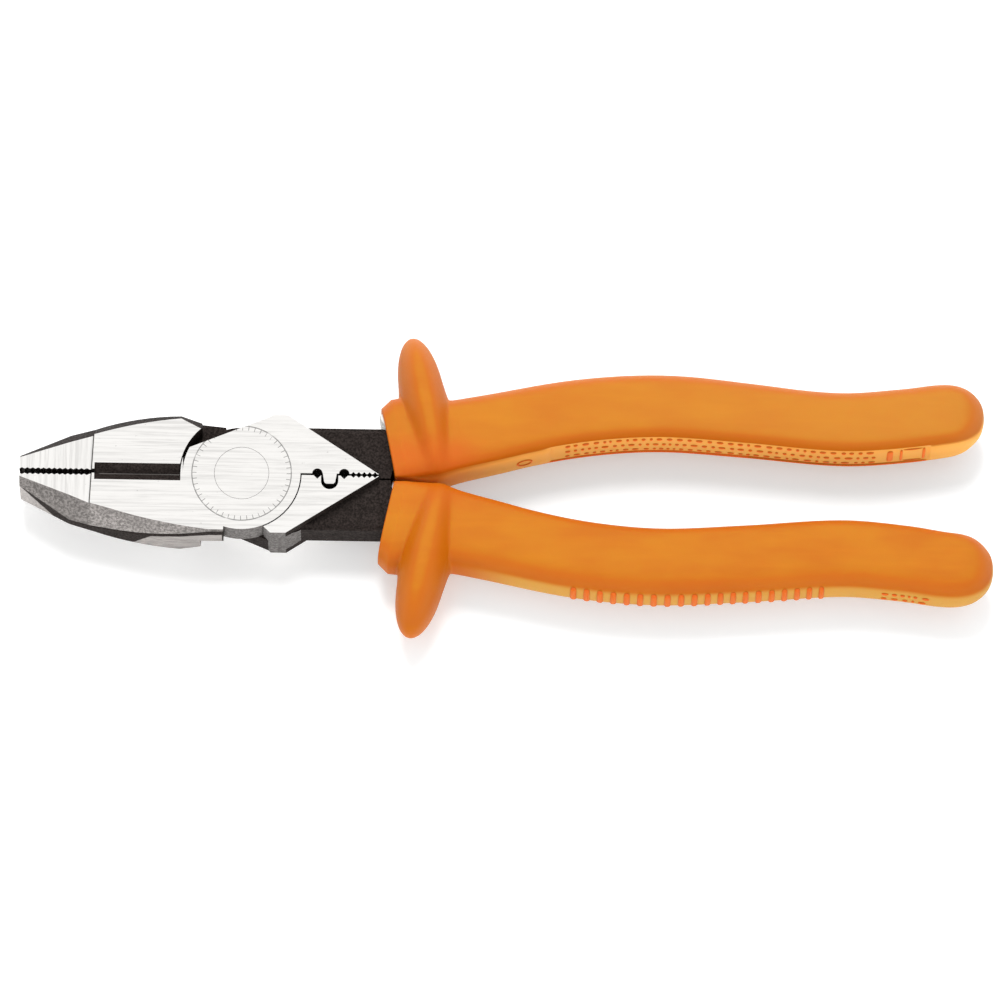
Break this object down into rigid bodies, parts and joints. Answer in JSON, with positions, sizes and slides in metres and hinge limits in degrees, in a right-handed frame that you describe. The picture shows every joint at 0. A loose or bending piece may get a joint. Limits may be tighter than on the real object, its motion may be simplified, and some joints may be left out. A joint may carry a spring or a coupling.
{
  "type": "lineman pliers",
  "caption": "Insulated side-cutting lineman pliers with gripping nose, knives, crimping die and guarded two-layer grips.",
  "frame": {"origin": "on the pivot axis, at the front face of the ground head", "axes": "-X towards the nose, +X towards the handles, +Y towards the upper jaw, +Z along the pivot axis out of the front face"},
  "size_m": [0.2434, 0.077, 0.025],
  "materials": {
    "ground_steel": "ground bright faces, black oxide tangs",
    "rivet_steel": "ground flush",
    "white_underlayer": "matte white",
    "orange_grip": "semi-gloss orange vinyl"
  },
  "bodies": {
    "upper_jaw_body": {"upper_jaw_half": "ground_steel", "pivot_rivet": "rivet_steel", "lower_inner_sleeve": "white_underlayer", "lower_grip": "orange_grip"},
    "lower_jaw_body": {"lower_jaw_half": "ground_steel", "upper_inner_sleeve": "white_underlayer", "upper_grip": "orange_grip"}
  },
  "joints": [
    {"name": "pivot", "type": "hinge", "parent": "upper_jaw_body", "child": "lower_jaw_body", "pos_m": [0, 0, -0.008], "axis": [0, 0, 1], "range_deg": [0, 36]}
  ]
}
